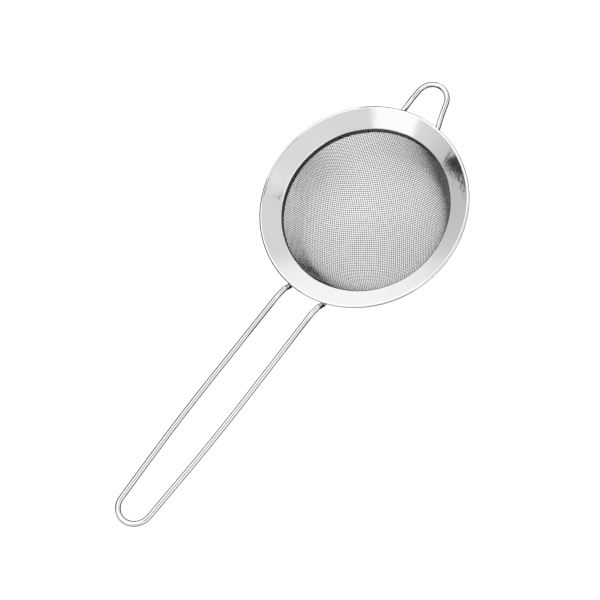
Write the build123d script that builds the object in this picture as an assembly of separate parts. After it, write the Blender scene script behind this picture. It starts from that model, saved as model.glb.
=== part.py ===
"""Flour sifter: a small fine-mesh strainer, all stainless steel, with wire handle and rest hook.

Row frame: the origin is the centre of the mouth, on the rim's axis at mid-height of its
collar. +Z points up out of the mouth and +X along the handle. All sizes in millimetres.
"""

import os
from math import asin, atan2, cos, hypot, radians, sin, tan

from build123d import *

# Rim: one pressed ring with a cylindrical collar, a rounded lip, a conical flange and a curled edge
mouth_radius = 39.2
collar_height = 3.0
rim_radius = 48.7
sheet = 0.5
lip_radius = 1.2
flange_slope = 30.0
curl_radius = 0.75
curl_turn = 255.0

# Woven bowl, as one closed shell: a steep conical wall over a spherical bottom
cloth = 0.5
wall_lean = 15.0
bottom_radius = 37.0
cloth_edge = 1.3
cloth_bend = -1.7

# Retaining ring round the cloth: a band with a conical flange under the rim's flange
band_drop = 0.9
ring_reach = 5.0
ring_bend = 0.7

# Handle and hook: one size of round wire
wire = 2.45
foot_start = (42.0, 1.7)
weld_radius = 1.6
weld_height = 1.0
weld_inset = 0.6

# Handle: bends are (distance along X, height), and half widths are from the X axis to the wire
handle_rise = (48.3, 4.6)
handle_crest = (50.72, 7.75)
handle_level = (55.0, 9.99)
handle_slope = 13.2
handle_half_width = 9.2
handle_waist = 125.0
handle_waist_half_width = 9.5
handle_tip_radius = 7.7
handle_tip = 173.2
rise_bend = 4.0
crest_bend = 3.0
level_bend = 18.0
waist_bend = 1000.0

# Hook: the same, towards -X
hook_level = (55.0, 5.05)
hook_slope = 4.7
hook_half_width = 8.32
hook_converge = 10.6
hook_tip_radius = 7.55
hook_bend = 12.0

collar_outer = mouth_radius + sheet
collar_top = collar_height / 2
lip_centre = (mouth_radius + lip_radius, collar_top)
cloth_radius = collar_outer + cloth / 2
band_inner = collar_outer + cloth
slope_cos = cos(radians(flange_slope))
slope_tan = tan(radians(flange_slope))


def at_angle(centre, radius, degrees):
    """The point of a circle in the XZ plane at an angle from +X towards +Z."""
    return (centre[0] + radius * cos(radians(degrees)), centre[1] + radius * sin(radians(degrees)))


def flange_level(radius, depth=0.0):
    """Height of the conical flange's upper face at a radius, or of a face that lies depth below it."""
    start = at_angle(lip_centre, lip_radius, 90 + flange_slope)
    return start[1] + (radius - start[0]) * slope_tan - depth / slope_cos


def ring_of(outline):
    """Solid of revolution about Z of a closed outline drawn in the XZ plane as (radius, height)."""
    section = make_face(Plane.XZ * Wire(outline))
    return revolve(section, Axis.Z)


def curl_centre():
    """Centre of the curled edge: its circle is tangent to the flange's upper face."""
    radius = rim_radius - curl_radius
    return (radius, flange_level(radius) - curl_radius / slope_cos)


def arc_through(centre, radius, start, end):
    """Arc about a centre between two angles in degrees, drawn through its middle."""
    points = [at_angle(centre, radius, angle) for angle in (start, (start + end) / 2, end)]
    return ThreePointArc(*points)


def make_rim():
    """Sheet section: collar, lip arc, flange and curl, with every arc's two faces on one centre."""
    curl = curl_centre()
    lean = 90 + flange_slope
    curl_end = lean - curl_turn
    upper = [
        Line((mouth_radius, -collar_top), (mouth_radius, collar_top)),
        arc_through(lip_centre, lip_radius, 180, lean),
        Line(at_angle(lip_centre, lip_radius, lean), at_angle(curl, curl_radius, lean)),
        arc_through(curl, curl_radius, lean, curl_end),
    ]
    inner_lip = lip_radius - sheet
    inner_curl = curl_radius - sheet
    lower = [
        Line(at_angle(curl, curl_radius, curl_end), at_angle(curl, inner_curl, curl_end)),
        arc_through(curl, inner_curl, curl_end, lean),
        Line(at_angle(curl, inner_curl, lean), at_angle(lip_centre, inner_lip, lean)),
        arc_through(lip_centre, inner_lip, lean, 180),
        Line((collar_outer, collar_top), (collar_outer, -collar_top)),
        Line((collar_outer, -collar_top), (mouth_radius, -collar_top)),
    ]
    return ring_of(upper + lower)


def bowl_face(offset):
    """One face of the cloth, offset outwards from its middle: edge, wall and bottom, down to the axis."""
    lean = radians(wall_lean)
    ball = bottom_radius + offset
    wall_top = (cloth_radius + offset, cloth_bend - offset * tan(lean / 2))
    middle_tangent = bottom_radius * cos(lean)
    middle_drop = (cloth_radius - middle_tangent) / tan(lean)
    centre = (0, cloth_bend - middle_drop + bottom_radius * sin(lean))
    tangent = (ball * cos(lean), centre[1] - ball * sin(lean))
    edges = [
        Line((cloth_radius + offset, cloth_edge), wall_top),
        Line(wall_top, tangent),
        arc_through(centre, ball, -wall_lean, -90),
    ]
    return edges, (0, centre[1] - ball)


def make_mesh_bowl():
    """The woven cloth as one thin closed shell of the cloth's own thickness."""
    inner, inner_bottom = bowl_face(-cloth / 2)
    outer, outer_bottom = bowl_face(cloth / 2)
    caps = [
        Line((cloth_radius - cloth / 2, cloth_edge), (cloth_radius + cloth / 2, cloth_edge)),
        Line(inner_bottom, outer_bottom),
    ]
    return ring_of(inner + outer + caps)


def make_retaining_ring():
    """Band that clamps the cloth to the collar, with a flange that lies under the rim's flange."""
    band_outer = band_inner + sheet
    lean = 90 + flange_slope
    bend_radius = band_inner + ring_bend + sheet
    level = flange_level(bend_radius, sheet) - (ring_bend + sheet) / slope_cos
    bend = (bend_radius, level)
    reach = (band_inner + ring_reach, flange_level(band_inner + ring_reach, sheet))
    under = (reach[0] + sheet * sin(radians(flange_slope)), reach[1] - sheet * slope_cos)
    low = -collar_top - band_drop
    edges = [
        Line((band_inner, low), (band_inner, level)),
        arc_through(bend, ring_bend + sheet, 180, lean),
        Line(at_angle(bend, ring_bend + sheet, lean), reach),
        Line(reach, under),
        Line(under, at_angle(bend, ring_bend, lean)),
        arc_through(bend, ring_bend, lean, 180),
        Line((band_outer, level), (band_outer, low)),
        Line((band_outer, low), (band_inner, low)),
    ]
    return ring_of(edges)


def sweep_wire(path):
    """Round wire along a path of straight runs and tangent arcs."""
    section = Plane(origin=path @ 0, z_dir=path % 0) * Circle(wire / 2)
    return sweep(section, path=path)


def handle_path():
    """U of wire: feet under the rim, a steep rise past the curled edge, long legs and a round tip."""
    slope = radians(handle_slope)
    tip_centre_x = handle_tip - handle_tip_radius * cos(slope)

    def height(x):
        return handle_level[1] + (x - handle_level[0]) * tan(slope)

    run = (tip_centre_x - handle_waist) / cos(slope)
    turn = tangent_turn(run, handle_waist_half_width, handle_tip_radius)
    arc_x = tip_centre_x + handle_tip_radius * sin(turn) * cos(slope)
    arc_y = handle_tip_radius * cos(turn)
    leg = FilletPolyline(
        (foot_start[0], handle_half_width, foot_start[1]),
        (handle_rise[0], handle_half_width, handle_rise[1]),
        (handle_crest[0], handle_half_width, handle_crest[1]),
        (handle_level[0], handle_half_width, handle_level[1]),
        (handle_waist, handle_waist_half_width, height(handle_waist)),
        (arc_x, arc_y, height(arc_x)),
        radius=[rise_bend, crest_bend, level_bend, waist_bend],
    )
    tip = ThreePointArc(
        (arc_x, arc_y, height(arc_x)),
        (handle_tip, 0, height(handle_tip)),
        (arc_x, -arc_y, height(arc_x)),
    )
    return Wire([*leg.edges(), tip, *mirror(leg, Plane.XZ).edges()])


def tangent_turn(run, half_width, radius):
    """Angle, in radians, by which a leg leans in to be tangent to the tip circle ahead of it.

    The leg starts half_width from the axis, run behind the circle's centre.
    """
    return atan2(half_width, run) - asin(radius / hypot(run, half_width))


def hook_path():
    """Short U of wire: feet under the rim, legs that rise and lean together, and a round tip."""
    slope = radians(hook_slope)
    turn = radians(hook_converge)
    run = (hook_half_width - hook_tip_radius / cos(turn)) / tan(turn)

    def place(along, across):
        return (-hook_level[0] - along * cos(slope), across, hook_level[1] + along * sin(slope))

    foot_half_width = hook_half_width + (hook_level[0] - foot_start[0]) * tan(turn)
    arc_start = place(run + hook_tip_radius * sin(turn), hook_tip_radius * cos(turn))
    leg = FilletPolyline(
        (-foot_start[0], foot_half_width, foot_start[1]),
        place(0, hook_half_width),
        arc_start,
        radius=[hook_bend],
    )
    tip = ThreePointArc(
        arc_start,
        place(run + hook_tip_radius, 0),
        (arc_start[0], -arc_start[1], arc_start[2]),
    )
    return Wire([*leg.edges(), tip, *mirror(leg, Plane.XZ).edges()])


def make_weld(foot, neighbours):
    """Weld between a wire's foot and the retaining ring's flange, round the wire's upper side."""
    centre = Vector(foot.X, foot.Y, 0)
    outward = centre.normalized()
    radius = centre.length + weld_inset
    down = outward * sin(radians(flange_slope)) - Vector(0, 0, slope_cos)
    origin = outward * radius + Vector(0, 0, flange_level(radius, 2 * sheet))
    nugget = Plane(origin=origin, z_dir=down) * Cylinder(weld_radius, weld_height)
    for piece in neighbours:
        nugget = nugget - piece
    return nugget


rim = make_rim()
mesh_bowl = make_mesh_bowl()
retaining_ring = make_retaining_ring()
handle_line = handle_path()
hook_line = hook_path()
handle_loop = sweep_wire(handle_line)
rest_hook = sweep_wire(hook_line)

parts = {
    "rim": rim,
    "mesh_bowl": mesh_bowl,
    "retaining_ring": retaining_ring,
    "handle_loop": handle_loop,
    "rest_hook": rest_hook,
    "handle_weld_left": make_weld(handle_line @ 0, [rim, retaining_ring, handle_loop]),
    "handle_weld_right": make_weld(handle_line @ 1, [rim, retaining_ring, handle_loop]),
    "hook_weld_left": make_weld(hook_line @ 0, [rim, retaining_ring, rest_hook]),
    "hook_weld_right": make_weld(hook_line @ 1, [rim, retaining_ring, rest_hook]),
}

os.makedirs("parts", exist_ok=True)
for name, shape in parts.items():
    export_step(shape, f"parts/{name}.step")
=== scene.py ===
"""Looks of the flour sifter: a small stainless-steel fine-mesh strainer, drawn round its CAD model.

All lengths are in metres in the part's own frame, and sizes are written in millimetres times MM.
The handle's and the hook's are plain millimetres until their paths are made.
"""

import bpy
import numpy as np
from mathutils import Matrix, Vector


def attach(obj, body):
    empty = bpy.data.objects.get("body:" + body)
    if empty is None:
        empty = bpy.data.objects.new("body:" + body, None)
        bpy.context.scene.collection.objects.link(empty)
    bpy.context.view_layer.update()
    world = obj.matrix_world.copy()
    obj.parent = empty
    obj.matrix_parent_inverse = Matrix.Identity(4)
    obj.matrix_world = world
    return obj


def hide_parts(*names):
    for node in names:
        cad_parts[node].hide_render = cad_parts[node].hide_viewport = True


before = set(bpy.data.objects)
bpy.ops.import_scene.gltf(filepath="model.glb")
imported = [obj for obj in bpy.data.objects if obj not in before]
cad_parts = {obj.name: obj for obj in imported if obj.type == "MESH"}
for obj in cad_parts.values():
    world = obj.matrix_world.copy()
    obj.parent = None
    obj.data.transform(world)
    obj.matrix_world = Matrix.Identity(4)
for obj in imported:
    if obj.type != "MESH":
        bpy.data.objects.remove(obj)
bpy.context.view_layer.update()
MM = 0.001


# ---- Rim ------------------------------------------------------------------------------------
# One ring pressed from 0.5 mm stainless sheet: a short collar, a rounded lip, a wide conical
# flange that is very slightly dished, and an outer edge curled under to a small bead.
# Buffed to a mirror; each wire foot welded below has left a faint dimple in the bead.
mouth_radius = 39.2 * MM
collar_half_height = 1.5 * MM
# 0.01 mm less than the CAD's, so that this rounder circle stays inside the CAD's box
rim_radius = 48.69 * MM
sheet = 0.5 * MM
lip_radius = 1.2 * MM
flange_slope = np.radians(30.0)
flange_dish = 0.03 * MM
curl_radius = 0.75 * MM
curl_turn = np.radians(255.0)
dimple_depth = 0.12 * MM
dimple_width = 1.3 * MM
rim_turns = 480
sharp_edge = np.radians(50)


def linear(hex_code, alpha=1.0):
    """sRGB hex to linear RGBA: each channel goes through the inverse of the sRGB curve."""
    channels = np.array([int(hex_code[i : i + 2], 16) for i in (1, 3, 5)]) / 255.0
    bright = ((channels + 0.055) / 1.055) ** 2.4
    return (*np.where(channels > 0.04045, bright, channels / 12.92).tolist(), alpha)


def add(tree, kind, inputs=(), **settings):
    """Adds a node: settings go on the node, and each input is set, or linked to an output socket."""
    node = tree.nodes.new(kind)
    for name, value in settings.items():
        setattr(node, name, value)
    for name, value in dict(inputs).items():
        if isinstance(value, bpy.types.NodeSocket):
            tree.links.new(value, node.inputs[name])
        else:
            node.inputs[name].default_value = value
    return node


def new_material(name):
    """An empty node material and its tree."""
    material = bpy.data.materials.new(name)
    material.use_nodes = True
    material.node_tree.nodes.clear()
    return material, material.node_tree


def put_mesh(name, points, faces, material):
    """A smooth-shaded mesh object of the points and faces, at the origin, with one material."""
    mesh = bpy.data.meshes.new(name)
    mesh.from_pydata(points.reshape(-1, 3).tolist(), [], faces)
    mesh.polygons.foreach_set("use_smooth", np.ones(len(mesh.polygons), bool))
    mesh.materials.append(material)
    mesh.update()
    piece = bpy.data.objects.new(name, mesh)
    bpy.context.scene.collection.objects.link(piece)
    return piece


def grid_faces(rows, columns, wrap_rows, wrap_columns):
    """Quads of a grid of rows by columns, as a list of corner numbers.

    A wrapped direction joins its last line to its first.
    """
    row = np.arange(rows if wrap_rows else rows - 1)[:, None]
    column = np.arange(columns if wrap_columns else columns - 1)[None, :]
    next_row, next_column = (row + 1) % rows, (column + 1) % columns
    corners = [
        row * columns + column,
        row * columns + next_column,
        next_row * columns + next_column,
        next_row * columns + column,
    ]
    shape = (len(row), column.shape[1])
    quads = np.stack([np.broadcast_to(corner, shape) for corner in corners], -1)
    return quads.reshape(-1, 4).tolist()


def arc(centre, radius, start, end, steps):
    """Points of an arc in (radius, height): centre plus radius times (cos, sin) from start to end."""
    angle = np.linspace(start, end, steps)
    return np.stack([centre[0] + radius * np.cos(angle), centre[1] + radius * np.sin(angle)], -1)


def run(start, end, steps, dish=0.0):
    """Points of a straight run, pushed to its right by dish times a parabola that is 1 mid-way."""
    share = np.linspace(0, 1, steps)[:, None]
    along = np.subtract(end, start)
    right = np.array([along[1], -along[0]]) / np.hypot(*along)
    return start + share * along + dish * 4 * share * (1 - share) * right


def spun(profile, turns):
    """Surface of revolution: each profile point (radius, height) carried round Z in equal turns."""
    angle = np.linspace(0, 2 * np.pi, turns, endpoint=False)[:, None]
    radius, height = profile[:, 0][None, :], profile[:, 1][None, :]
    flat = np.broadcast_to(height, (turns, len(profile)))
    return np.stack([radius * np.cos(angle), radius * np.sin(angle), flat], -1)


def flange_level(radius, depth=0.0):
    """Height of the flange's upper face at a radius, or of a face parallel to it depth below."""
    start = arc(lip_centre, lip_radius, lean, lean, 1)[0]
    return start[1] + (radius - start[0]) * np.tan(flange_slope) - depth / np.cos(flange_slope)


lean = np.pi / 2 + flange_slope
lip_centre = (mouth_radius + lip_radius, collar_half_height)
bead_radius = rim_radius - curl_radius
curl_centre = (bead_radius, flange_level(bead_radius) - curl_radius / np.cos(flange_slope))


def rim_profile():
    """Closed section of the sheet: the upper face from collar to curl, then the lower face back."""
    curl_end = lean - curl_turn
    inner_lip, inner_curl = lip_radius - sheet, curl_radius - sheet
    lip_top = arc(lip_centre, lip_radius, np.pi, lean, 12)
    curl_top = arc(curl_centre, curl_radius, lean, curl_end, 36)
    curl_under = arc(curl_centre, inner_curl, curl_end, lean, 12)
    lip_under = arc(lip_centre, inner_lip, lean, np.pi, 8)
    low = -collar_half_height
    foot = np.array([[mouth_radius + sheet, low], [mouth_radius, low]])
    upper_flange = run(lip_top[-1], curl_top[0], 16, flange_dish)[1:-1]
    lower_flange = run(curl_under[-1], lip_under[0], 16, -flange_dish)[1:-1]
    upper = [foot, lip_top, upper_flange, curl_top]
    return np.concatenate([*upper, curl_under, lower_flange, lip_under])


def press_dimples(points, spots):
    """Lowers the bead by a bell curve of dimple_width round each spot, given as (x, y)."""
    for spot in spots:
        distance = np.hypot(points[..., 0] - spot[0], points[..., 1] - spot[1])
        points[..., 2] -= dimple_depth * np.exp(-((distance / dimple_width) ** 2))
    return points


def mirror_polished_sheet():
    """Stainless sheet, buffed: a clear reflection, bent a little where the press left it uneven."""
    material, tree = new_material("mirror_polished_stainless_sheet")
    place = add(tree, "ShaderNodeTexCoord").outputs["Object"]
    # Press unevenness is about 14 mm from crest to crest, and buffing haze about 4 mm
    waves = add(tree, "ShaderNodeTexNoise", {"Vector": place, "Scale": 1 / (14 * MM), "Detail": 1.0})
    haze = add(tree, "ShaderNodeTexNoise", {"Vector": place, "Scale": 1 / (4 * MM), "Detail": 4.0})
    rough = add(
        tree,
        "ShaderNodeMapRange",
        {"Value": haze.outputs["Fac"], "To Min": 0.05, "To Max": 0.11},
    )
    # Draw marks: shallow ripples about 6 mm apart, left where the sheet slid over the die
    ripples = add(tree, "ShaderNodeTexNoise", {"Vector": place, "Scale": 1 / (6 * MM), "Detail": 2.0})
    swell = add(
        tree,
        "ShaderNodeBump",
        {"Height": waves.outputs["Fac"], "Strength": 1.0, "Distance": 0.03 * MM},
    )
    bump = add(
        tree,
        "ShaderNodeBump",
        {
            "Height": ripples.outputs["Fac"],
            "Strength": 1.0,
            "Distance": 0.05 * MM,
            "Normal": swell.outputs["Normal"],
        },
    )
    steel = add(
        tree,
        "ShaderNodeBsdfPrincipled",
        {
            "Base Color": linear("#E0DEE0"),
            "Metallic": 1.0,
            "Roughness": rough.outputs["Result"],
            "Normal": bump.outputs["Normal"],
        },
    )
    add(tree, "ShaderNodeOutputMaterial", {"Surface": steel.outputs["BSDF"]})
    return material


sheet_steel = mirror_polished_sheet()
rim_points = spun(rim_profile(), rim_turns)
foot_spots = np.array([(47.1, 9.2), (47.1, -9.2), (-46.9, 9.8), (-46.9, -9.8)]) * MM
rim_points = press_dimples(rim_points, foot_spots)
rim_faces = grid_faces(*rim_points.shape[:2], True, True)
rim = put_mesh("pressed_rim", rim_points, rim_faces, sheet_steel)
rim.data.set_sharp_from_angle(angle=sharp_edge)
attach(rim, "root")
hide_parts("rim")


# ---- Wire cloth bowl --------------------------------------------------------------------------
# Plain-woven stainless cloth, 24 wires of 0.25 mm to the inch, drawn from a flat disc to a deep
# bowl. Drawing doesn't stretch the wires: each cell keeps its sides and shears, so the two sets
# of wires form a net of equal steps. Its edge is trapped between the collar and a band.
pitch = 25.4 / 24 * MM
cloth_wire = 0.25 * MM
cloth_half = 0.25 * MM
weave_turn = np.radians(35.2)
wall_lean = np.radians(15.0)
bottom_radius = 37.0 * MM
cloth_edge = 1.0 * MM
cloth_bend = -1.7 * MM
wire_sides = 6
steps_per_cell = 4
newton_rounds = 14
step_tolerance = 0.02
strips_per_set = 5

edge_radius = mouth_radius + sheet + cloth_half
wall_foot = bottom_radius * np.cos(wall_lean)
wall_drop = (edge_radius - wall_foot) / np.tan(wall_lean)
ball_level = cloth_bend - wall_drop + bottom_radius * np.sin(wall_lean)
ball_length = bottom_radius * (np.pi / 2 - wall_lean)
wall_length = wall_drop / np.cos(wall_lean)
cloth_reach = ball_length + wall_length + cloth_edge - cloth_bend


def bowl_section(length):
    """Radius, height and slope of the bowl's section at a length from its lowest point.

    A circle about the bowl's centre comes first, then the straight leaning wall, then the
    upright edge in the clamp.
    """
    on_ball = np.minimum(length, ball_length) / bottom_radius
    on_wall = np.clip(length - ball_length, 0, wall_length)
    on_edge = np.maximum(length - ball_length - wall_length, 0)
    radius = bottom_radius * np.sin(on_ball) + on_wall * np.sin(wall_lean)
    height = ball_level - bottom_radius * np.cos(on_ball) + on_wall * np.cos(wall_lean) + on_edge
    slope = np.where(on_edge > 0, np.pi / 2, on_ball)
    return radius, height, slope


def on_bowl(flat):
    """Points of the bowl for flat (u, v): its distance from (0, 0) is the length, its angle the way."""
    length = np.hypot(flat[..., 0], flat[..., 1])
    radius, height, _ = bowl_section(length)
    scale = radius / np.maximum(length, 1e-9)
    return np.stack([flat[..., 0] * scale, flat[..., 1] * scale, height], -1)


def inward_normals(flat):
    """Unit normals of the bowl at flat (u, v), on its inner side: (-sin slope outward, cos slope up)."""
    length = np.hypot(flat[..., 0], flat[..., 1])
    slope = bowl_section(length)[2]
    way = flat / np.maximum(length, 1e-9)[..., None]
    return np.concatenate([-way * np.sin(slope)[..., None], np.cos(slope)[..., None]], -1)


def next_knots(side_a, side_b, back):
    """The fourth corner of each cell: the point one pitch from both side_a and side_b.

    Newton's method on the two squared distances, from the parallelogram's corner.
    """
    flat = side_a + side_b - back
    point_a, point_b = on_bowl(side_a), on_bowl(side_b)
    nudge = pitch * 1e-3
    for _ in range(newton_rounds):
        here = on_bowl(flat)
        gap = np.stack([((here - p) ** 2).sum(-1) - pitch**2 for p in (point_a, point_b)], -1)
        columns = []
        for axis in ((nudge, 0.0), (0.0, nudge)):
            there = on_bowl(flat + axis)
            moved = [((there - p) ** 2).sum(-1) - pitch**2 for p in (point_a, point_b)]
            columns.append((np.stack(moved, -1) - gap) / nudge)
        jacobian = np.stack(columns, -1)
        determinant = np.linalg.det(jacobian)
        safe = np.abs(determinant) > 1e-12
        jacobian = np.where(safe[:, None, None], jacobian, np.eye(2) * pitch)
        step = np.linalg.solve(jacobian, gap[..., None])[..., 0]
        flat = flat - np.clip(step, -pitch, pitch)
    return flat


def knot_net():
    """Flat places of every crossing in a quarter of the cloth, as an (n, n, 2) array.

    The two middle wires run straight up the bowl; every other crossing follows diagonal by
    diagonal from the two before it. Mirrored in both middle wires, the quarter gives the whole.
    """
    count = int(cloth_reach / pitch) + 2
    flat = np.full((count, count, 2), np.nan)
    middle = np.arange(count) * pitch
    flat[:, 0] = np.stack([middle, np.zeros(count)], -1)
    flat[0, :] = np.stack([np.zeros(count), middle], -1)
    for total in range(2, 2 * count - 1):
        i = np.arange(max(1, total - count + 1), min(count, total))
        j = total - i
        side_a, side_b, back = flat[i - 1, j], flat[i, j - 1], flat[i - 1, j - 1]
        known = np.isfinite(side_a + side_b + back).all(-1)
        i, j = i[known], j[known]
        if len(i) == 0:
            break
        found = next_knots(side_a[known], side_b[known], back[known])
        steps = np.linalg.norm(on_bowl(found) - on_bowl(side_a[known]), axis=-1)
        even = np.abs(steps - pitch) < step_tolerance * pitch
        near = np.hypot(*found.T) < cloth_reach + 2 * pitch
        good = even & near
        flat[i[good], j[good]] = found[good]
    inverse = flat[::-1]
    half = np.concatenate([inverse[:-1] * (-1, 1), flat])
    return np.concatenate([half[:, ::-1][:, :-1] * (1, -1), half], 1)


def turned(flat, angle):
    """Flat places turned about (0, 0)."""
    c, s = np.cos(angle), np.sin(angle)
    u, v = flat[..., 0], flat[..., 1]
    return np.stack([c * u - s * v, s * u + c * v], -1)


def woven_tubes(knots, over):
    """Tubes along the rows of knots that pass over and under the other set's wires in turn.

    Between two crossings a centreline is the straight mix of both, set back on the bowl and
    raised along its normal by half a wire times the cosine of pi times the number of cells
    passed, so it tops every second crossing and dips under the others.
    """
    rows, count = knots.shape[:2]
    share = np.arange(steps_per_cell)[:, None] / steps_per_cell
    samples = knots[:, :-1, None] * (1 - share) + knots[:, 1:, None] * share
    samples = samples.reshape(rows, -1, 2)
    cells = np.arange(samples.shape[1]) / steps_per_cell
    lift = over * cloth_wire / 2 * np.cos(np.pi * (np.arange(rows)[:, None] + cells[None]))
    length = np.hypot(samples[..., 0], samples[..., 1])
    real = np.isfinite(length) & (length < cloth_reach)
    normal = inward_normals(samples)
    line = on_bowl(samples) + normal * lift[..., None]
    line = np.where(real[..., None], line, np.nan)
    ahead, behind = np.full_like(line, np.nan), np.full_like(line, np.nan)
    ahead[:, :-1], behind[:, 1:] = line[:, 1:], line[:, :-1]
    ahead = np.where(np.isfinite(ahead), ahead, line)
    behind = np.where(np.isfinite(behind), behind, line)
    tangent = ahead - behind
    tangent /= np.maximum(np.linalg.norm(tangent, axis=-1, keepdims=True), 1e-12)
    across = np.cross(tangent, normal)
    across /= np.maximum(np.linalg.norm(across, axis=-1, keepdims=True), 1e-12)
    up = np.cross(across, tangent)
    turn = np.arange(wire_sides) / wire_sides * 2 * np.pi
    ring = np.cos(turn)[:, None] * up[:, :, None] + np.sin(turn)[:, None] * across[:, :, None]
    points = line[:, :, None] + ring * cloth_wire / 2
    return points, real


def tube_faces(real):
    """Quads between neighbouring real rings, and an end face on each wire's first and last ring."""
    number = np.cumsum(real.ravel()).reshape(real.shape) - 1
    joined = real[:, 1:] & real[:, :-1]
    first, second = number[:, :-1][joined] * wire_sides, number[:, 1:][joined] * wire_sides
    side = np.arange(wire_sides)
    after = (side + 1) % wire_sides
    quads = np.stack(
        [
            first[:, None] + side,
            first[:, None] + after,
            second[:, None] + after,
            second[:, None] + side,
        ],
        -1,
    ).reshape(-1, 4)
    lone = np.zeros((real.shape[0], 1), bool)
    starts = number[real & ~np.hstack([lone, real[:, :-1]])] * wire_sides
    ends = number[real & ~np.hstack([real[:, 1:], lone])] * wire_sides
    caps = [(starts[:, None] + side[::-1]).tolist(), (ends[:, None] + side).tolist()]
    return quads.tolist() + caps[0] + caps[1]


def shade_darkened_woven_wire():
    """Bright-annealed stainless wire: drawn smooth, so each knuckle shows a small sharp highlight. Its
    base colour is painted shade, darker than the other steel, for the shade among the woven wires.
    """
    material, tree = new_material("shade_darkened_woven_stainless_wire")
    place = add(tree, "ShaderNodeTexCoord").outputs["Object"]
    # Oil and handling leave the cloth a little duller in patches of about 9 mm
    patches = add(tree, "ShaderNodeTexNoise", {"Vector": place, "Scale": 1 / (9 * MM), "Detail": 2.0})
    rough = add(
        tree,
        "ShaderNodeMapRange",
        {"Value": patches.outputs["Fac"], "To Min": 0.10, "To Max": 0.20},
    )
    # Painted shade: the base colour is much darker than the rim's and handle's steel, standing in for
    # the shade and dark reflections among the woven wires
    steel = add(
        tree,
        "ShaderNodeBsdfPrincipled",
        {"Base Color": linear("#8A898E"), "Metallic": 1.0, "Roughness": rough.outputs["Result"]},
    )
    add(tree, "ShaderNodeOutputMaterial", {"Surface": steel.outputs["BSDF"]})
    return material


shaded_cloth_steel = shade_darkened_woven_wire()
knots = turned(knot_net(), weave_turn)
strips = np.linspace(0, knots.shape[0], strips_per_set + 1).astype(int)
for set_name, net, over in (("warp", knots, 1), ("weft", knots.transpose(1, 0, 2), -1)):
    wire_points, wire_real = woven_tubes(net, over)
    for number, (start, end) in enumerate(zip(strips[:-1], strips[1:])):
        shown = wire_real[start:end]
        wires = put_mesh(
            f"cloth_{set_name}_{number}",
            wire_points[start:end][shown],
            tube_faces(shown),
            shaded_cloth_steel,
        )
        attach(wires, "root")
        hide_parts("mesh_bowl")


# ---- Retaining ring ---------------------------------------------------------------------------
# A band of the same sheet, pressed over the cloth's edge from outside, with a flange that lies
# against the underside of the rim's flange. Left as rolled, so it is duller than the rim.
band_drop = 0.9 * MM
ring_reach = 5.0 * MM
ring_bend = 0.7 * MM
ring_turns = 320
band_inner = mouth_radius + sheet + 2 * cloth_half


def ring_profile():
    """Closed section of the band: inner face, bend, flange top, then back along the outside."""
    outer_bend = ring_bend + sheet
    bend_x = band_inner + outer_bend
    bend = (bend_x, flange_level(bend_x, sheet) - outer_bend / np.cos(flange_slope))
    low = -collar_half_height - band_drop
    reach_x = band_inner + ring_reach
    tip = np.array([reach_x, flange_level(reach_x, sheet)])
    tip_under = tip + np.array([np.sin(flange_slope), -np.cos(flange_slope)]) * sheet
    over_bend = arc(bend, outer_bend, np.pi, lean, 10)
    under_bend = arc(bend, ring_bend, lean, np.pi, 8)
    foot = np.array([[band_inner + sheet, low], [band_inner, low]])
    top = run(over_bend[-1], tip, 8, flange_dish / 2)[1:]
    under = run(tip_under, under_bend[0], 8, -flange_dish / 2)[:-1]
    return np.concatenate([foot, over_bend, top, under, under_bend])


def satin_rolled_sheet():
    """Stainless strip as rolled: fine lines run round the band and blur the reflection along it."""
    material, tree = new_material("satin_rolled_stainless_strip")
    place = add(tree, "ShaderNodeTexCoord").outputs["Object"]
    # Rolling lines are finer than 0.1 mm and are drawn 0.5 mm apart to show; they follow Z only
    squeezed = add(
        tree, "ShaderNodeMapping", {"Vector": place, "Scale": (0.03, 0.03, 1.0)}, vector_type="POINT"
    )
    lines = add(
        tree,
        "ShaderNodeTexNoise",
        {"Vector": squeezed.outputs["Vector"], "Scale": 1 / (0.5 * MM), "Detail": 2.0},
    )
    bump = add(
        tree,
        "ShaderNodeBump",
        {"Height": lines.outputs["Fac"], "Strength": 0.5, "Distance": 0.01 * MM},
    )
    steel = add(
        tree,
        "ShaderNodeBsdfPrincipled",
        {
            "Base Color": linear("#C6C4C2"),
            "Metallic": 1.0,
            "Roughness": 0.28,
            "Normal": bump.outputs["Normal"],
        },
    )
    add(tree, "ShaderNodeOutputMaterial", {"Surface": steel.outputs["BSDF"]})
    return material


ring_points = spun(ring_profile(), ring_turns)
ring_faces = grid_faces(*ring_points.shape[:2], True, True)
ring = put_mesh("cloth_retaining_ring", ring_points, ring_faces, satin_rolled_sheet())
ring.data.set_sharp_from_angle(angle=sharp_edge)
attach(ring, "root")
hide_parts("retaining_ring")


# ---- Handle -----------------------------------------------------------------------------------
# One length of 2.45 mm stainless wire, bent cold to a long U. Both feet go under the rim, step
# up past the curled edge and run on as two almost parallel legs to a round end. Polished after
# bending; the wire's die has left faint lines along it.
# 0.01 mm thinner than the CAD's wire, so that it stays inside the CAD's box
wire_radius = 2.44 / 2 * MM
foot_start = (42.0, 1.7)
handle_rise = (48.3, 4.6)
handle_crest = (50.72, 7.75)
handle_level = (55.0, 9.99)
handle_slope = np.radians(13.2)
handle_half_width = 9.2
handle_waist = 125.0
handle_waist_half_width = 9.5
handle_tip_radius = 7.7
handle_tip = 173.2
rise_bend = 4.0
crest_bend = 3.0
level_bend = 18.0
waist_bend = 1000.0
wire_facets = 28
bend_steps = 12
round_end_steps = 60
handle_step = 2.0
hook_step = 1.0
cap_rings = 5
smallest_cap_ring = 0.02


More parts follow.
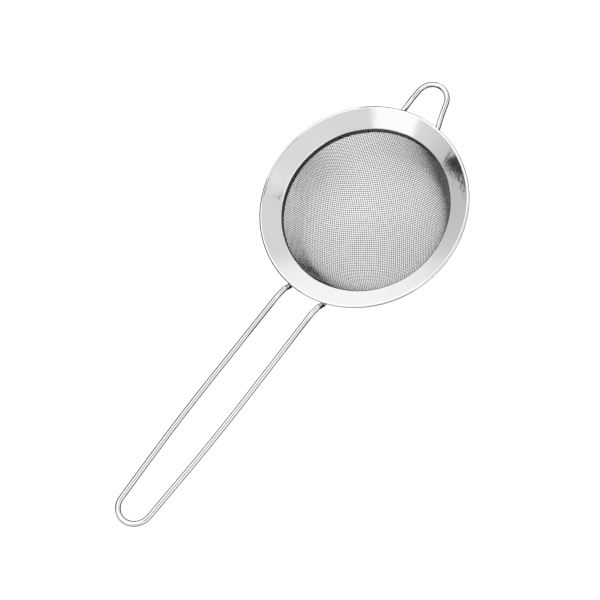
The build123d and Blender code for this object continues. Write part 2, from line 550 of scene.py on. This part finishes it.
def rounded_path(corners, bends, steps):
    """Polyline with an arc at each inner corner: the arc of that radius tangent to both runs.

    From the corner, each arc starts radius times tan(half the turn) back along the run, and its
    points are centre minus normal times radius cos(t) plus direction times radius sin(t).
    """
    corners = np.array(corners, float)
    runs = np.diff(corners, axis=0)
    ways = runs / np.linalg.norm(runs, axis=1, keepdims=True)
    pieces = [corners[:1]]
    for corner, way_in, way_out, radius in zip(corners[1:-1], ways[:-1], ways[1:], bends):
        turn = np.arccos(np.clip(way_in @ way_out, -1, 1))
        inward = way_out - way_in * (way_in @ way_out)
        inward /= np.linalg.norm(inward)
        start = corner - way_in * radius * np.tan(turn / 2)
        t = np.linspace(0, turn, steps)[:, None]
        pieces.append(start + inward * radius * (1 - np.cos(t)) + way_in * radius * np.sin(t))
    return np.concatenate([*pieces, corners[-1:]])


def loop_path(leg, centre, along, radius, steps):
    """A leg, a round end about the centre that goes on from the leg, and the leg mirrored in Y."""
    start = np.arccos(leg[-1, 1] / radius)
    t = np.linspace(start, np.pi - start, steps)[1:-1, None]
    end = centre + radius * (np.sin(t) * along + np.cos(t) * np.array([0.0, 1.0, 0.0]))
    return np.concatenate([leg, end, leg[::-1] * (1, -1, 1)])


def even_path(path, step):
    """The path's points set at most a step apart: each run is cut into equal shares."""
    length = np.concatenate([[0], np.cumsum(np.linalg.norm(np.diff(path, axis=0), axis=1))])
    between = np.ceil(np.diff(length) / step).astype(int)
    marks = [np.linspace(a, b, n, endpoint=False) for a, b, n in zip(length, length[1:], between)]
    marks = np.concatenate([*marks, length[-1:]])
    return np.stack([np.interp(marks, length, path[:, k]) for k in range(3)], -1)


def carried_circle(path, normal, radius, facets):
    """A circle carried along the path, square to it; the ends are closed with domed caps.

    Each ring is the path's point plus radius times (cos up + sin side), where side is the path's
    direction crossed with the loop's normal. Cap rings shrink as a quarter circle a third as deep.
    """
    way = np.gradient(path, axis=0)
    way /= np.linalg.norm(way, axis=1, keepdims=True)
    dome = np.linspace(0, np.pi / 2, cap_rings + 1)[1:, None]
    first = path[0] - way[0] * radius / 3 * np.sin(dome[::-1])
    last = path[-1] + way[-1] * radius / 3 * np.sin(dome)
    line = np.concatenate([first, path, last])
    ways = np.concatenate([np.repeat(way[:1], cap_rings, 0), way, np.repeat(way[-1:], cap_rings, 0)])
    sizes = np.concatenate([np.cos(dome[::-1, 0]), np.ones(len(path)), np.cos(dome[:, 0])])
    side = np.cross(ways, normal)
    side /= np.linalg.norm(side, axis=1, keepdims=True)
    up = np.cross(side, ways)
    turn = np.linspace(0, 2 * np.pi, facets, endpoint=False)[None, :, None]
    ring = np.cos(turn) * up[:, None] + np.sin(turn) * side[:, None]
    sizes = np.maximum(sizes, smallest_cap_ring)
    return line[:, None] + ring * sizes[:, None, None] * radius


def capped_tube_faces(points):
    """Quads from ring to ring along a tube, and one face over its first and its last ring."""
    rings, facets = points.shape[:2]
    last = (rings - 1) * facets
    caps = [list(range(facets))[::-1], list(range(last, last + facets))]
    return grid_faces(rings, facets, False, True) + caps


def polished_wire():
    """Stainless wire, drawn and then tumbled bright: clear reflections and the die's faint lines."""
    material, tree = new_material("tumble_polished_stainless_wire")
    place = add(tree, "ShaderNodeTexCoord").outputs["Object"]
    # Die lines are about 0.1 mm apart; they are drawn 0.6 mm apart and stretched along the handle
    stretched = add(tree, "ShaderNodeMapping", {"Vector": place, "Scale": (0.02, 1.0, 1.0)})
    lines = add(
        tree,
        "ShaderNodeTexNoise",
        {"Vector": stretched.outputs["Vector"], "Scale": 1 / (0.6 * MM), "Detail": 2.0},
    )
    bump = add(
        tree,
        "ShaderNodeBump",
        {"Height": lines.outputs["Fac"], "Strength": 0.3, "Distance": 0.01 * MM},
    )
    haze = add(tree, "ShaderNodeTexNoise", {"Vector": place, "Scale": 1 / (6 * MM), "Detail": 2.0})
    rough = add(
        tree,
        "ShaderNodeMapRange",
        {"Value": haze.outputs["Fac"], "To Min": 0.04, "To Max": 0.07},
    )
    steel = add(
        tree,
        "ShaderNodeBsdfPrincipled",
        {
            "Base Color": linear("#DDDBDA"),
            "Metallic": 1.0,
            "Roughness": rough.outputs["Result"],
            "Normal": bump.outputs["Normal"],
        },
    )
    add(tree, "ShaderNodeOutputMaterial", {"Surface": steel.outputs["BSDF"]})
    return material


def handle_height(x):
    """Height in mm of the handle's legs past the rise: a straight line at the handle's slope."""
    return handle_level[1] + (x - handle_level[0]) * np.tan(handle_slope)


tip_x = handle_tip - handle_tip_radius * np.cos(handle_slope)
tip_run = (tip_x - handle_waist) / np.cos(handle_slope)
tip_turn = np.arctan2(handle_waist_half_width, tip_run) - np.arcsin(
    handle_tip_radius / np.hypot(tip_run, handle_waist_half_width)
)
arc_x = tip_x + handle_tip_radius * np.sin(tip_turn) * np.cos(handle_slope)
arc_y = handle_tip_radius * np.cos(tip_turn)
handle_leg = rounded_path(
    [
        (foot_start[0], handle_half_width, foot_start[1]),
        (handle_rise[0], handle_half_width, handle_rise[1]),
        (handle_crest[0], handle_half_width, handle_crest[1]),
        (handle_level[0], handle_half_width, handle_level[1]),
        (handle_waist, handle_waist_half_width, handle_height(handle_waist)),
        (arc_x, arc_y, handle_height(arc_x)),
    ],
    (rise_bend, crest_bend, level_bend, waist_bend),
    bend_steps,
)
handle_along = np.array([np.cos(handle_slope), 0.0, np.sin(handle_slope)])
handle_normal = np.array([-np.sin(handle_slope), 0.0, np.cos(handle_slope)])
tip_centre = np.array([tip_x, 0.0, handle_height(tip_x)])
handle_path = loop_path(handle_leg, tip_centre, handle_along, handle_tip_radius, round_end_steps)
handle_path = even_path(handle_path * MM, handle_step * MM)
handle_points = carried_circle(handle_path, handle_normal, wire_radius, wire_facets)
wire_steel = polished_wire()
handle = put_mesh("handle_wire", handle_points, capped_tube_faces(handle_points), wire_steel)
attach(handle, "root")
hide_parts("handle_loop")


# ---- Rest hook --------------------------------------------------------------------------------
# A short length of the same wire, bent to a small U that rests on the far edge of a bowl or cup.
# Its feet are welded under the rim opposite the handle's.
hook_level = (55.0, 5.05)
hook_slope = np.radians(4.7)
hook_half_width = 8.32
hook_converge = np.radians(10.6)
hook_tip_radius = 7.55
hook_bend = 12.0

hook_along = np.array([-np.cos(hook_slope), 0.0, np.sin(hook_slope)])
hook_normal = np.array([np.sin(hook_slope), 0.0, np.cos(hook_slope)])
hook_start = np.array([-hook_level[0], 0.0, hook_level[1]])
hook_run = (hook_half_width - hook_tip_radius / np.cos(hook_converge)) / np.tan(hook_converge)
hook_foot = hook_half_width + (hook_level[0] - foot_start[0]) * np.tan(hook_converge)
hook_arc = hook_start + hook_along * (hook_run + hook_tip_radius * np.sin(hook_converge))
hook_leg = rounded_path(
    [
        (-foot_start[0], hook_foot, foot_start[1]),
        hook_start + (0, hook_half_width, 0),
        hook_arc + (0, hook_tip_radius * np.cos(hook_converge), 0),
    ],
    (hook_bend,),
    bend_steps,
)
hook_centre = hook_start + hook_along * hook_run
hook_path = loop_path(hook_leg, hook_centre, hook_along, hook_tip_radius, round_end_steps)
hook_path = even_path(hook_path * MM, hook_step * MM)
hook_points = carried_circle(hook_path, hook_normal, wire_radius, wire_facets)
hook = put_mesh("rest_hook_wire", hook_points, capped_tube_faces(hook_points), wire_steel)
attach(hook, "root")
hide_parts("rest_hook")


# ---- Welds ------------------------------------------------------------------------------------
# Resistance welds between each wire foot and the retaining ring: small nuggets of steel that
# the electrodes squeezed out and left grey and slightly grainy.
def weld_skin():
    """Steel melted by the weld: dull grey oxide grain, a little straw-coloured in patches."""
    material, tree = new_material("grey_weld_nugget")
    place = add(tree, "ShaderNodeTexCoord").outputs["Object"]
    grain = add(
        tree, "ShaderNodeTexNoise", {"Vector": place, "Scale": 1 / (0.4 * MM), "Detail": 5.0}
    )
    tint = add(tree, "ShaderNodeValToRGB", {"Fac": grain.outputs["Fac"]})
    tint.color_ramp.elements[0].color = linear("#8E8A84")
    tint.color_ramp.elements[1].color = linear("#B9B6B0")
    bump = add(
        tree,
        "ShaderNodeBump",
        {"Height": grain.outputs["Fac"], "Strength": 0.8, "Distance": 0.06 * MM},
    )
    steel = add(
        tree,
        "ShaderNodeBsdfPrincipled",
        {
            "Base Color": tint.outputs["Color"],
            "Metallic": 1.0,
            "Roughness": 0.45,
            "Normal": bump.outputs["Normal"],
        },
    )
    add(tree, "ShaderNodeOutputMaterial", {"Surface": steel.outputs["BSDF"]})
    return material


weld_steel = weld_skin()
for node in ("handle_weld_left", "handle_weld_right", "hook_weld_left", "hook_weld_right"):
    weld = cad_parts[node]
    weld.data.materials.clear()
    weld.data.materials.append(weld_steel)


# ---- Studio -----------------------------------------------------------------------------------
# A white table that glows a little, so that it stays almost free of shadow, under a wide soft
# dome of light. The table is left out of reflections, and the dome is dark in its lower part.
floor_level = -45.1 * MM
floor_half_width = 6000 * MM
floor_signs = ((-1, -1), (1, -1), (1, 1), (-1, 1))
floor_corners = [(x * floor_half_width, y * floor_half_width, floor_level) for x, y in floor_signs]
floor_mesh = bpy.data.meshes.new("white_table")
floor_mesh.from_pydata(floor_corners, [], [(0, 1, 2, 3)])
floor = bpy.data.objects.new("white_table", floor_mesh)
bpy.context.scene.collection.objects.link(floor)
floor_material, tree = new_material("white_table_top")
top = add(
    tree,
    "ShaderNodeBsdfPrincipled",
    {
        "Base Color": linear("#909090"),
        "Roughness": 0.6,
        "Specular IOR Level": 0.0,
        "Emission Color": (1.0, 1.0, 1.0, 1.0),
        "Emission Strength": 0.82,
    },
)
add(tree, "ShaderNodeOutputMaterial", {"Surface": top.outputs["BSDF"]})
floor_mesh.materials.append(floor_material)
floor.visible_glossy = False

world = bpy.data.worlds.new("soft_studio")
bpy.context.scene.world = world
world.use_nodes = True
tree = world.node_tree
tree.nodes.clear()
way = add(tree, "ShaderNodeTexCoord").outputs["Generated"]


def pointing(azimuth, elevation):
    """Unit vector at an azimuth from +X towards +Y and an elevation above the table, in degrees."""
    a, e = np.radians([azimuth, elevation])
    return (np.cos(a) * np.cos(e), np.sin(a) * np.cos(e), np.sin(e))


def share_near(direction, inner, outer):
    """1 within inner degrees of a direction, falling smoothly to 0 at outer degrees from it."""
    near = add(tree, "ShaderNodeVectorMath", {0: way, 1: direction}, operation="DOT_PRODUCT")
    limits = {"From Min": np.cos(np.radians(outer)), "From Max": np.cos(np.radians(inner))}
    return add(
        tree,
        "ShaderNodeMapRange",
        {"Value": near.outputs["Value"], **limits},
        interpolation_type="SMOOTHSTEP",
    ).outputs["Result"]


def toned(level, share, value):
    """The level so far, moved towards a value by a share between 0 and 1."""
    return add(
        tree, "ShaderNodeMix", {"Factor": share, "A": level, "B": value}, data_type="FLOAT"
    ).outputs["Result"]


# Soft boxes and dim gaps round the table, widest first: azimuth, elevation, inner and outer
# half angle, brightness. Each one covers those before it.
lights = (
    (100, 10, 30, 60, 1.25),
    (215, 10, 5, 48, 1.22),
    (285, 20, 5, 38, 0.70),
    (345, 46, 10, 16, 1.32),
    (84, 58, 5, 30, 0.94),
    (158, 40, 5, 30, 0.88),
    (240, 68, 38, 47, 1.45),
)
level = 0.9
for azimuth, elevation, inner, outer, bright in lights:
    level = toned(level, share_near(pointing(azimuth, elevation), inner, outer), bright)
level = toned(level, share_near(pointing(260, -76), 76, 82), 0.02)
sky = add(tree, "ShaderNodeBackground", {"Color": level, "Strength": 1.0})
add(tree, "ShaderNodeOutputWorld", {"Surface": sky.outputs["Background"]})


black_card, tree = new_material("black_card")
black = add(tree, "ShaderNodeEmission", {"Color": (0.02, 0.02, 0.022, 1.0), "Strength": 1.0})
add(tree, "ShaderNodeOutputMaterial", {"Surface": black.outputs["Emission"]})


def card(name, corners):
    """A flat black card with the given corners in millimetres, seen only in reflections."""
    mesh = bpy.data.meshes.new(name)
    points = [tuple(np.array(corner) * MM) for corner in corners]
    mesh.from_pydata(points, [], [range(len(points))])
    mesh.materials.append(black_card)
    piece = bpy.data.objects.new(name, mesh)
    bpy.context.scene.collection.objects.link(piece)
    piece.visible_camera = False
    piece.visible_diffuse = False
    piece.visible_shadow = False


# A long boom far overhead draws the dark line along the top of the wires, a card beside each
# loop and low cards round the rim give dark edges, and a small flag is mirrored in the flange.
boom_distance = 3000
boom_corners = ((140.7, 49.3), (165.0, 58.5), (72.3, 80.6), (84.0, 61.3))
card("boom", [boom_distance * np.array(pointing(*corner)) for corner in boom_corners])
card("handle_card", [(8, -70, -44), (190, -70, -44), (190, -70, 86), (8, -70, 42)])
card("hook_card_right", [(-150, -40, -44), (-52, -40, -44), (-52, -40, 34), (-150, -40, 34)])
card("hook_card_left", [(-150, 40, -44), (-52, 40, -44), (-52, 40, 10), (-150, 40, 10)])
card("rim_card_far", [(-15, 75, -44), (-75, 35, -44), (-75, 35, 4), (-15, 75, 4)])
card("rim_card_near", [(25, -75, -44), (75, -30, -44), (75, -30, 4), (25, -75, 4)])
card("rim_card_side", [(68, 40, -44), (38, 72, -44), (38, 72, 4), (68, 40, 4)])
card("flag", [(-0.2, -39.4, 42.7), (-7.4, -35.9, 45.7), (-14.7, -36.4, 31.4)])

bpy.context.scene.view_settings.view_transform = "Standard"
bpy.context.scene.view_settings.look = "None"

# ---- Camera -----------------------------------------------------------------------------------
# Looks down into the mouth from beside the handle, with the handle running to the lower left.
aim = np.array([50.875, -3.174, 0.133]) * MM
distance = 647.77 * MM
azimuth, elevation, roll = np.radians([73.385, 66.079, -41.995])
level_share = np.cos(elevation)
back = Vector((np.cos(azimuth) * level_share, np.sin(azimuth) * level_share, np.sin(elevation)))
camera_data = bpy.data.cameras.new("camera")
camera_data.lens = 85.888
camera_data.sensor_width = 36.0
camera_data.clip_start, camera_data.clip_end = 0.05, 20.0
camera = bpy.data.objects.new("camera", camera_data)
bpy.context.scene.collection.objects.link(camera)
upright = back.to_track_quat("Z", "Y").to_matrix().to_4x4()
stand = Matrix.Translation(Vector(aim) + back * distance)
camera.matrix_world = stand @ upright @ Matrix.Rotation(roll, 4, "Z")
bpy.context.scene.camera = camera
